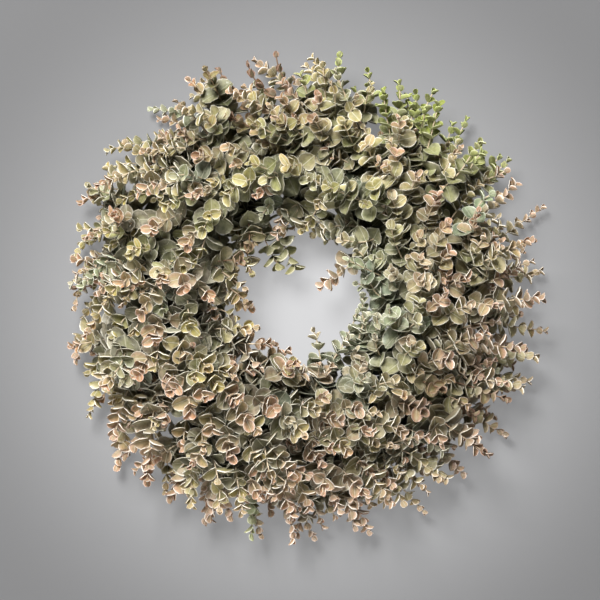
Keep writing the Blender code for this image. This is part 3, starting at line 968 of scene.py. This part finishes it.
def bark_section(nodes, given):
    """A grooved section, which carries its own place for the bark's pattern."""
    hollow = nodes.minus(1.0, given["Groove Depth"])
    inputs = {"Points": given["Grooves"], "Inner Radius": hollow, "Outer Radius": 1.0}
    section = nodes.add("GeometryNodeCurveStar", inputs).outputs[0]
    parts = nodes.parts(nodes.add("GeometryNodeInputPosition").outputs[0])
    section = nodes.store(section, "bark_x", parts["X"])
    return nodes.store(section, "bark_y", parts["Y"])


def wound_vine_tree():
    """The tree that makes a knotty, grooved cane along a closed line."""
    nodes, given = geometry_tree("wound_vine", {"Vine Finish": "Material"}, {
        "Radius": CANE_RADIUS,
        "Knots": VINE_KNOTS,
        "Knots To A Metre": KNOTS_TO_A_METRE,
        "Grooves": VINE_GROOVES,
        "Groove Depth": VINE_GROOVE_DEPTH,
        "Groove Turns": VINE_GROOVE_TURNS,
    })
    cane = nodes.add("GeometryNodeMeshToCurve", {"Mesh": given["Geometry"]}).outputs[0]
    along = nodes.add("GeometryNodeSplineParameter").outputs
    turns = nodes.times(nodes.times(given["Groove Turns"], math.tau), along["Factor"])
    cane = nodes.add("GeometryNodeSetCurveTilt", {"Curve": cane, "Tilt": turns}).outputs[0]
    cane = nodes.store(cane, "along", along["Length"])
    place = nodes.add("GeometryNodeInputPosition").outputs[0]
    inputs = {"Vector": place, "Scale": given["Knots To A Metre"], "Detail": KNOT_DETAIL}
    knots = nodes.add("ShaderNodeTexNoise", inputs).outputs[0]
    thin = nodes.times(nodes.ramp(knots, *KNOT_CONTRAST), given["Knots"])
    thick = nodes.times(given["Radius"], nodes.minus(1.0, thin))
    vine = nodes.smoothed(nodes.swept(cane, bark_section(nodes, given), {"Scale": thick}))
    nodes.add("NodeGroupOutput", {"Geometry": nodes.finished(vine, given["Vine Finish"])})
    return nodes.tree


def binding_wire_tree():
    """The tree that makes round wire along a line."""
    nodes, given = geometry_tree("binding_wire", {"Wire Finish": "Material"}, {"Radius": TIE_RADIUS})
    line = nodes.add("GeometryNodeMeshToCurve", {"Mesh": given["Geometry"]}).outputs[0]
    inputs = {"Resolution": WIRE_SIDES, "Radius": given["Radius"]}
    section = nodes.add("GeometryNodeCurvePrimitiveCircle", inputs).outputs[0]
    wire = nodes.swept(line, section, {"Fill Caps": True})
    nodes.add("NodeGroupOutput", {"Geometry": nodes.finished(wire, given["Wire Finish"])})
    return nodes.tree


def set_inputs(modifier, values):
    """Give a modifier's tree its named inputs."""
    for item in modifier.node_group.interface.items_tree:
        if item.in_out == "INPUT" and item.name in values:
            modifier[item.identifier] = values[item.name]


# The finishes


def new_finish(name, roughness):
    """A material with its shader and its nodes to build on."""
    finish = bpy.data.materials.new(name)
    finish.use_nodes = True
    shader = finish.node_tree.nodes["Principled BSDF"]
    shader.inputs["Roughness"].default_value = roughness
    return finish, Nodes(finish.node_tree), shader


def attribute(nodes, name):
    """A number that the mesh carries."""
    return nodes.add("ShaderNodeAttribute", attribute_name=name).outputs["Fac"]


def speckle_group():
    """A soft noise as a mask and as a height, for dust, grain and wear."""
    group = bpy.data.node_groups.new("speckle", "ShaderNodeTree")
    for label in ("Scale", "Detail", "Start", "End"):
        group.interface.new_socket(label, in_out="INPUT", socket_type="NodeSocketFloat")
    for label in ("Mask", "Height"):
        group.interface.new_socket(label, in_out="OUTPUT", socket_type="NodeSocketFloat")
    nodes = Nodes(group)
    given = nodes.add("NodeGroupInput").outputs
    place = nodes.add("ShaderNodeTexCoord").outputs["Object"]
    inputs = {"Vector": place, "Scale": given["Scale"], "Detail": given["Detail"]}
    noise = nodes.add("ShaderNodeTexNoise", inputs).outputs[0]
    mask = nodes.ramp(noise, given["Start"], given["End"])
    nodes.add("NodeGroupOutput", {"Mask": mask, "Height": noise})
    return group


def speckle(nodes, scale, detail, start, end):
    """The speckle group in a material."""
    placed = nodes.add("ShaderNodeGroup", node_tree=SPECKLE)
    for label, value in {"Scale": scale, "Detail": detail, "Start": start, "End": end}.items():
        placed.inputs[label].default_value = value
    return placed.outputs


def bumped(nodes, shader, height, depth, strength):
    """Raise a finish by a height."""
    bump = nodes.add("ShaderNodeBump", {"Strength": strength, "Distance": depth, "Height": height})
    nodes.feed(shader, {"Normal": bump.outputs[0]})


def blade_place(nodes):
    """Where on its leaf a spot lies: off the midrib, along the leaf, and inside the rim."""
    parts = nodes.parts(nodes.add("ShaderNodeUVMap", uv_map="blade_map").outputs[0])
    across = nodes.math("ABSOLUTE", nodes.math("MULTIPLY_ADD", parts["X"], 2.0, -1.0))
    along = nodes.math("MULTIPLY_ADD", parts["Y"], 2.0, -1.0)
    bulge = nodes.math("SUBTRACT", 1.0, nodes.times(along, along), clamp=True)
    width = nodes.math("SQRT", bulge)
    inside = nodes.times(nodes.minus(1.0, across), width)
    return nodes.times(across, width), parts["Y"], inside


def leaf_veins(nodes, off_midrib, along):
    """Fine side veins that leave the midrib at a slant."""
    slant = nodes.math("MULTIPLY_ADD", off_midrib, VEIN_SLANT, along)
    wave = nodes.math("SINE", nodes.times(slant, VEINS))
    return nodes.ramp(nodes.math("ABSOLUTE", wave), *VEIN_WIDTH)


def leaf_colours(nodes, age, tone_and_painted_light, blush, mint, rust):
    """The colours of a leaf's body and of its paler margin, from old to young, darker or lighter partly
    by chance and partly by painted light and shade.
    """
    def aged(old, mature, young):
        colour = nodes.colour(nodes.ramp(age, *MATURING), old, mature)
        return nodes.colour(nodes.ramp(age, *YOUNG_AGES), colour, young)

    def blushed(lime, cream, peach, rusty):
        colour = nodes.colour(nodes.ramp(blush, *TO_CREAM), lime, cream)
        colour = nodes.colour(nodes.ramp(blush, *TO_PEACH), colour, peach)
        return nodes.colour(nodes.times(rust, RUST_SHARE), colour, rusty)

    mature = nodes.colour(blush, nodes.colour(tone_and_painted_light, *GREEN_BODY), nodes.colour(tone_and_painted_light, *TAN_BODY))
    body = aged(nodes.colour(tone_and_painted_light, *OLD_BODY_AND_PAINTED_SHADE), mature, blushed(*YOUNG_BODY))
    margin = aged(*GROWN_MARGIN, blushed(*YOUNG_MARGIN))
    body = nodes.colour(mint, body, nodes.colour(age, *MINT_BODY))
    return body, nodes.colour(mint, margin, nodes.colour(age, *MINT_MARGIN))


def silvered(nodes, body, age):
    """Greyer old leaves and stronger young ones, most on the silvery side."""
    change = nodes.times(attribute(nodes, "silver"), nodes.ramp(age, *SILVERING))
    inputs = {"Saturation": nodes.plus(change, 1.0), "Color": body}
    return nodes.add("ShaderNodeHueSaturation", inputs).outputs[0]


def weathered(nodes, body, age, blush, rust):
    """Soft tan or pink patches and a dark mottle that run over the leaves."""
    patches = nodes.times(speckle(nodes, *PATCHES)["Mask"], PATCH_SHARE)
    patches = nodes.times(patches, nodes.ramp(age, *PATCH_AGES))
    patches = nodes.times(patches, nodes.minus(1.0, rust))
    body = nodes.colour(patches, body, nodes.colour(blush, *PATCH_COLOURS))
    mottle = nodes.times(speckle(nodes, *MOTTLE)["Mask"], MOTTLE_SHARE)
    return nodes.colour(mottle, body, MOTTLE_SHADE, "MULTIPLY")


def darker_heart(nodes, body, tone_and_painted_light, mint, along, inside):
    """A darker middle, and a dark foot where the leaf meets its stem, partly its own colour and partly
    painted shade.
    """
    heart = nodes.times(nodes.ramp(inside, *HEART), nodes.minus(1.0, mint))
    body = nodes.colour(heart, body, nodes.colour(tone_and_painted_light, *HEART_COLOURS))
    return nodes.colour(nodes.ramp(along, *FOOT), body, FOOT_TONE_AND_PAINTED_SHADE, "MULTIPLY")


def paler_edges(nodes, body, margin, age, veins, inside):
    """Paler veins, a wash of the margin's colour inside the rim, and a dusty under side."""
    body = nodes.colour(nodes.times(veins, VEIN_SHARE), body, margin)
    wash = nodes.times(nodes.ramp(inside, *WASH), nodes.ramp(age, *WASH_AGES))
    body = nodes.colour(wash, body, margin)
    under = nodes.times(attribute(nodes, "under_side"), UNDER_SHARE)
    return nodes.colour(under, body, UNDER_COLOUR)


def pale_rim(nodes, body, margin, age, blush, rust, inside, midrib):
    """A thin pale rim and midrib."""
    from_rim = nodes.times(inside, nodes.math("SQRT", attribute(nodes, "leaf_length")))
    rim = nodes.ramp(from_rim, *RIM_WIDTH)
    rim = nodes.times(rim, nodes.ramp(attribute(nodes, "tint"), *RIM_TINTS))
    rim = nodes.times(rim, nodes.ramp(age, *RIM_AGES))
    pale = nodes.math("MAXIMUM", rim, nodes.times(midrib, MIDRIB_SHARE))
    own = nodes.math("MAXIMUM", rust, nodes.ramp(blush, *RIM_OWN_COLOUR))
    rim_colour = nodes.colour(nodes.ramp(age, *RIM_PALING), *RIM_COLOURS)
    return nodes.colour(pale, body, nodes.colour(own, rim_colour, margin))


def leaf_finish():
    """Dusty leaves with a darker middle, side veins, a paler margin and a thin pale rim, made lighter or
    darker by painted light and shade.
    """
    finish, nodes, shader = new_finish("leaf", 0.6)
    age = attribute(nodes, "age")
    rust = attribute(nodes, "rust")
    blush = attribute(nodes, "blush")
    deeper = nodes.times(nodes.ramp(age, *DEEPER_AGES), nodes.ramp(blush, *DEEPER_BLUSH))
    blush = nodes.plus(blush, deeper)
    mint = nodes.times(attribute(nodes, "mint"), MINT_SHARE)
    # A leaf's chance tint mixed with its light value, which is partly chance and partly painted light
    # and shade
    light = nodes.blend(LIGHT_SHARE, attribute(nodes, "tint"), attribute(nodes, "light"))
    tone_and_painted_light = nodes.ramp(light, *SHADES)
    off_midrib, along, inside = blade_place(nodes)
    midrib = nodes.ramp(off_midrib, *MIDRIB_WIDTH)
    veins = leaf_veins(nodes, off_midrib, along)
    dust = speckle(nodes, *DUST)
    body, margin = leaf_colours(nodes, age, tone_and_painted_light, blush, mint, rust)
    body = silvered(nodes, body, age)
    body = weathered(nodes, body, age, blush, rust)
    body = darker_heart(nodes, body, tone_and_painted_light, mint, along, inside)
    body = nodes.colour(nodes.times(dust["Mask"], DUST_SHARE), body, DUST_COLOUR)
    body = paler_edges(nodes, body, margin, age, veins, inside)
    colour = pale_rim(nodes, body, margin, age, blush, rust, inside, midrib)
    nodes.feed(shader, {"Base Color": colour, "Roughness": nodes.ramp(dust["Height"], *LEAF_GLOSS)})
    relief = nodes.math("MAXIMUM", nodes.times(veins, VEIN_RELIEF), midrib)
    relief = nodes.plus(relief, nodes.times(dust["Height"], DUST_RELIEF))
    bumped(nodes, shader, relief, *LEAF_RELIEF)
    shader.inputs["Specular IOR Level"].default_value = LEAF_SHINE
    return finish


def stem_finish():
    """Sage stems that turn pale tan, and brown where the sprig is rusty."""
    finish, nodes, shader = new_finish("stem", 0.65)
    tip = nodes.colour(attribute(nodes, "rust"), *STEM_TIPS)
    colour = nodes.colour(nodes.ramp(attribute(nodes, "age"), *STEM_AGES), STEM_COLOUR, tip)
    grain = speckle(nodes, *STEM_GRAIN)
    colour = nodes.colour(nodes.times(grain["Mask"], STEM_GRAIN_SHARE), colour, GRAIN_COLOUR)
    nodes.feed(shader, {"Base Color": colour, "Roughness": nodes.ramp(grain["Height"], *STEM_GLOSS)})
    bumped(nodes, shader, grain["Height"], *STEM_RELIEF)
    return finish


def vine_finish():
    """Rough brown bark, in strips along the cane, with paler patches."""
    finish, nodes, shader = new_finish("vine", 0.85)
    spot = nodes.add("ShaderNodeCombineXYZ", {
        0: nodes.times(attribute(nodes, "bark_x"), BARK_ACROSS),
        1: nodes.times(attribute(nodes, "bark_y"), BARK_ACROSS),
        2: nodes.times(attribute(nodes, "along"), BARK_ALONG)}).outputs[0]
    strips = nodes.add("ShaderNodeTexNoise", {"Vector": spot, **BARK_NOISE}).outputs[0]
    lichen = nodes.times(speckle(nodes, *LICHEN)["Mask"], LICHEN_SHARE)
    colour = nodes.colour(nodes.ramp(strips, *BARK_CONTRAST), *BARK_COLOURS)
    colour = nodes.colour(lichen, colour, LICHEN_COLOUR)
    nodes.feed(shader, {"Base Color": colour, "Roughness": nodes.ramp(strips, *BARK_GLOSS)})
    bumped(nodes, shader, strips, *BARK_RELIEF)
    return finish


def wire_finish():
    """Dark green painted wire."""
    finish, nodes, shader = new_finish("wire", 0.45)
    worn = speckle(nodes, *WIRE_WEAR)
    colour = nodes.colour(worn["Mask"], *WIRE_COLOURS)
    nodes.feed(shader, {"Base Color": colour, "Roughness": nodes.ramp(worn["Height"], *WIRE_GLOSS)})
    bumped(nodes, shader, worn["Height"], *WIRE_RELIEF)
    return finish


# The wreath's pieces


def vigour(tip, draw):
    """How large a sprig's leaves are, beside the others': largest at the lower left."""
    angle, _ = clock(tip)
    return draw.uniform(*VIGOUR) + LARGER_LEAVES * nearness(angle, LARGE_SIDE, LARGE_SPREAD)


def colouring(tip, draw):
    """How blushing, minty, rusty, light and silvery a sprig is, by where it ends; its lightness is
    partly chance and partly painted light and shade.
    """
    angle, reach = clock(tip)
    blush = BLUSH_MEAN + BLUSH_SWING * math.cos(angle - BLUSH_SIDE) + draw.uniform(*BLUSH_CHANCE)
    blush = max(LEAST_BLUSH, blush)
    blush -= LIME_DEPTH * nearness(angle, LIME_SIDE, LIME_SPREAD) * (reach > LIME_REACH)
    mint = max(0, math.cos(angle - MINT_SIDE)) * max(0, 1 - reach / MINT_REACH) * MINT_GAIN
    mint += draw.uniform(*ODD_MINT_DEPTH) if draw.random() < ODD_MINT else 0
    rust = max(nearness(angle, side, spread) for side, spread in RUST_SIDES)
    rust = rust * draw.random() if reach > RUST_REACH else 0
    # Near the hole's upper left, brown that is partly rust and partly painted shade
    if reach < BROWN_AND_PAINTED_SHADE_REACH:
        rust = nearness(angle, BROWN_AND_PAINTED_SHADE_SIDE, BROWN_AND_PAINTED_SHADE_SPREAD) * draw.random()
    # Painted light and shade: lighter on one side of the wreath and darker on the other, more so round
    # the hole, and lighter along one axis than across it
    painted_light_swing = PAINTED_LIGHT_AT_HOLE if reach < HOLE_REACH else PAINTED_LIGHT_SWING
    light = LEAST_LIGHT + LIGHT_CHANCE * draw.random() + painted_light_swing * math.cos(angle - PAINTED_LIGHT_SIDE)
    light += PAINTED_LIGHT_ON_AXIS * math.cos(2 * (angle - PAINTED_LIGHT_AXIS))
    silver = LEAST_SILVER + (1 - LEAST_SILVER) * nearness(angle, SILVER_SIDE, SILVER_SPREAD)
    values = {"blush": blush, "mint": mint, "rust": rust * RUST_GAIN, "light": light, "silver": silver}
    return {key: min(1, max(0, value)) for key, value in values.items()}


CARRIED = ("bare", "youth", "young", "half", "spread", "vigour", "roll", "pairs",
           "blush", "mint", "rust", "light", "silver")


def stem_lines(name, stems, draw):
    """The stems of a spray as lines that carry what their leaves need."""
    points = []
    edges = []
    carried = {key: [] for key in CARRIED}
    for stem in stems:
        leafy = path_length(stem.path) * (1 - stem.bare)
        values = {
            "bare": stem.bare,
            "youth": stem.youth,
            "young": stem.young,
            "half": stem.half,
            "spread": stem.spread,
            "vigour": vigour(stem.path[-1], draw),
            "roll": draw.uniform(0, math.pi),
            "pairs": max(FEWEST_PAIRS, round(leafy / stem.spacing)),
            **colouring(stem.path[-1], draw),
            **TONES.get(stem.tone, {}),
        }
        first = len(points)
        points += stem.path
        edges += [(first + k, first + k + 1) for k in range(len(stem.path) - 1)]
        for key, value in values.items():
            carried[key] += [value] * len(stem.path)
    mesh = bpy.data.meshes.new(name)
    mesh.from_pydata(points, edges, [])
    for key, values in carried.items():
        kind = "INT" if key == "pairs" else "FLOAT"
        mesh.attributes.new(key, kind, "POINT").data.foreach_set("value", values)
    return mesh


def line_mesh(name, points, closed):
    """A line through some points."""
    edges = [(k, k + 1) for k in range(len(points) - 1)]
    if closed:
        edges.append((len(points) - 1, 0))
    mesh = bpy.data.meshes.new(name)
    mesh.from_pydata(points, edges, [])
    return mesh


def placed(name, data):
    """A new object in the scene."""
    item = bpy.data.objects.new(name, data)
    bpy.context.scene.collection.objects.link(item)
    return item


def made_by(items, tree, values):
    """Run a tree on some objects and keep what it makes as their plain meshes."""
    for number, item in enumerate(items):
        modifier = item.modifiers.new(tree.name, "NODES")
        modifier.node_group = tree
        set_inputs(modifier, {**values, "Seed": number})
    graph = bpy.context.evaluated_depsgraph_get()
    meshes = [bpy.data.meshes.new_from_object(item.evaluated_get(graph)) for item in items]
    for item, mesh in zip(items, meshes):
        item.modifiers.clear()
        item.data = mesh


def stand_for(piece, node):
    """Let a piece stand for a node of the solids."""
    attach(piece, "root")
    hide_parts(node)


def leafy_sprays():
    """A detailed spray for each spray of the solids."""
    shapes = leaf_shapes()
    sprays = {}
    for station in range(STATIONS):
        for row in ROWS:
            draw = random.Random(f"{SEED} rolls {row.name} {station}")
            place = f"{row.name}_{station + 1:02d}"
            lines = stem_lines(f"leafy_{place}", spray_stems(station, row), draw)
            sprays[f"spray_{place}"] = placed(f"leafy_{place}", lines)
    made_by(list(sprays.values()), leafy_stems_tree(), {
        "Leaf Shapes": shapes,
        "Leaf Finish": leaf_finish(),
        "Stem Finish": stem_finish(),
    })
    for node, spray in sprays.items():
        stand_for(spray, node)
    for shape in list(shapes.objects):
        bpy.data.objects.remove(shape)
    bpy.data.collections.remove(shapes)


def hull_half(spots):
    """One side of the outline of some sorted spots."""
    chain = []
    for spot in spots:
        while len(chain) > 1:
            edge = chain[-1] - chain[-2]
            reach = spot - chain[-2]
            if edge.cross(reach) > 0:
                break
            chain.pop()
        chain.append(spot)
    return chain[:-1]


def circle_spots(section_angle, depth, radius):
    """Corners round a stem's or a cane's place in the ring's section."""
    middle = Vector((depth * math.cos(section_angle), depth * math.sin(section_angle)))
    spots = []
    for k in range(TIE_CORNERS):
        spin = math.tau * (k + 0.5) / TIE_CORNERS
        spots.append(middle + Vector((math.cos(spin), math.sin(spin))) * radius)
    return spots


def tie_outline(angle):
    """The outline round the canes and the stems at a station, in the ring's section."""
    clear = TIE_RADIUS + TIE_GAP
    spots = []
    for k in range(CANE_ROUNDS):
        twist = CANE_START + CANE_TURNS * (angle + math.tau * k) / CANE_ROUNDS
        spots += circle_spots(twist, CANE_OFFSET, CANE_RADIUS + clear)
    for row in ROWS:
        spots += circle_spots(math.radians(row.seat), STEM_DEPTH, MAIN_HALF * math.sqrt(2) + clear)
    spots.sort(key=lambda spot: (spot.x, spot.y))
    return hull_half(spots) + hull_half(spots[::-1])


def tie_path(station):
    """Wire wound three times round the canes and the stems of a station."""
    angle = station_angle(station)
    outline = [spot.to_3d() for spot in tie_outline(angle)]
    outline.append(outline[0])
    points = []
    for step in range(TIE_ROUNDS * TIE_STEPS + 1):
        spot, _ = walk(outline, step % TIE_STEPS / TIE_STEPS)
        along = tangent(angle) * TIE_PITCH * (step / TIE_STEPS - TIE_ROUNDS / 2)
        points.append(ring_point(angle, math.atan2(spot.y, spot.x), spot.length) + along)
    return points


def binding_wires():
    """The wire wound round each station, in place of its plain loop."""
    ties = []
    for station in range(STATIONS):
        name = f"binding_wire_{station + 1:02d}"
        ties.append(placed(name, line_mesh(name, tie_path(station), False)))
    made_by(ties, binding_wire_tree(), {"Wire Finish": wire_finish()})
    for station, tie in enumerate(ties):
        stand_for(tie, f"wire_tie_{station + 1:02d}")


def wound_vine():
    """The ring: a knotty cane that winds round itself, in place of the plain one."""
    points = []
    for step in range(CANE_STEPS):
        turn = math.tau * step / CANE_STEPS
        points.append(ring_point(turn * CANE_ROUNDS, CANE_START + turn * CANE_TURNS, CANE_OFFSET))
    vine = placed("wound_vine", line_mesh("wound_vine", points, True))
    made_by([vine], wound_vine_tree(), {"Vine Finish": vine_finish()})
    stand_for(vine, "vine_ring")


# The wall, the floor, the lights and the camera


def plane(name, corners, finish):
    """A flat stage piece."""
    mesh = bpy.data.meshes.new(name)
    mesh.from_pydata(corners, [], [(0, 1, 2, 3)])
    mesh.materials.append(finish)
    placed(name, mesh)


def wall_finish():
    """A pale wall with a painted pool of light behind the wreath, that isn't seen from behind.

    Its paleness is partly lamp light and partly a painted glow that only the camera sees, which fills in
    the wreath's shadow on it, most behind the hole.
    """
    finish, nodes, shader = new_finish("wall", 0.9)
    spots = {0: nodes.add("ShaderNodeTexCoord").outputs["Object"], 1: CENTRE + Vector(WALL_PAINTED_LIGHT_MIDDLE)}
    away = nodes.add("ShaderNodeVectorMath", spots, operation="DISTANCE").outputs["Value"]
    colour = nodes.colour(nodes.ramp(away, *WALL_PAINTED_LIGHT_FADE), *WALL_PAINTED_LIGHT)
    lit = nodes.ramp(away, *WALL_LIT)
    painted_glow = nodes.minus(1.0, nodes.times(lit, WALL_LIGHT))
    rays = nodes.add("ShaderNodeLightPath").outputs
    # The lamps light the lit share; a painted glow, seen only by the camera, gives the rest
    nodes.feed(shader, {
        "Base Color": nodes.colour(lit, BLACK, colour),
        "Emission Color": nodes.colour(painted_glow, BLACK, colour),
        "Emission Strength": rays["Is Camera Ray"],
    })
    shader.inputs["Specular IOR Level"].default_value = 0.0
    behind = nodes.add("ShaderNodeNewGeometry").outputs["Backfacing"]
    hidden = nodes.math("MAXIMUM", behind, rays["Is Shadow Ray"])
    clear = nodes.add("ShaderNodeBsdfTransparent").outputs[0]
    mix = nodes.add("ShaderNodeMixShader", {0: hidden, 1: shader.outputs[0], 2: clear})
    nodes.feed(nodes.tree.nodes["Material Output"], {"Surface": mix.outputs[0]})
    return finish


def floor_finish():
    """A plain pale floor."""
    finish, nodes, shader = new_finish("floor", 0.8)
    cloud = speckle(nodes, *FLOOR_CLOUD)
    nodes.feed(shader, {"Base Color": nodes.colour(cloud["Mask"], *FLOOR_COLOURS)})
    return finish


def add_stage():
    """A wall close behind the wreath and a floor well below it."""
    side, back, low, high = STAGE_SIDE, WALL_BACK, FLOOR_Z, WALL_TOP
    plane("wall", [(-side, back, low), (side, back, low), (side, back, high), (-side, back, high)],
          wall_finish())
    plane("floor", [(-side, -side, low), (side, -side, low), (side, side, low), (-side, side, low)],
          floor_finish())


def add_lights():
    """Soft light from above and in front, with a little all round and behind."""
    for light in LIGHTS:
        lamp = bpy.data.lights.new(light.name, "AREA")
        lamp.size = light.size
        lamp.energy = light.power
        item = placed(light.name, lamp)
        item.location = light.place
        item.rotation_euler = (CENTRE - Vector(light.place)).to_track_quat("-Z", "Y").to_euler()
    world = bpy.data.worlds.new("room")
    world.use_nodes = True
    nodes = Nodes(world.node_tree)
    seen = nodes.add("ShaderNodeLightPath").outputs["Is Camera Ray"]
    sky = world.node_tree.nodes["Background"]
    sky.inputs["Color"].default_value = SKY_COLOUR
    nodes.feed(sky, {"Strength": nodes.blend(seen, SKY_LIGHT, SKY_SEEN)})
    bpy.context.scene.world = world


def add_camera():
    """A long lens straight in front, with the wreath where the photograph has it."""
    middle = (cad_box[0] + cad_box[1]) / 2
    right = PHOTO_PIXELS / 2 - WREATH_MIDDLE_PIXELS[0]
    down = PHOTO_PIXELS / 2 - WREATH_MIDDLE_PIXELS[1]
    lens = bpy.data.cameras.new("camera")
    lens.sensor_width = SENSOR_WIDTH
    lens.lens = SENSOR_WIDTH * CAMERA_DISTANCE / (PHOTO_PIXELS * METRES_PER_PIXEL)
    camera = placed("camera", lens)
    camera.location = (middle.x + right * METRES_PER_PIXEL, middle.y - CAMERA_DISTANCE,
                       middle.z - down * METRES_PER_PIXEL)
    camera.rotation_euler = (math.pi / 2, 0, 0)
    bpy.context.scene.camera = camera


SPECKLE = speckle_group()
leafy_sprays()
wound_vine()
binding_wires()
add_stage()
add_lights()
add_camera()
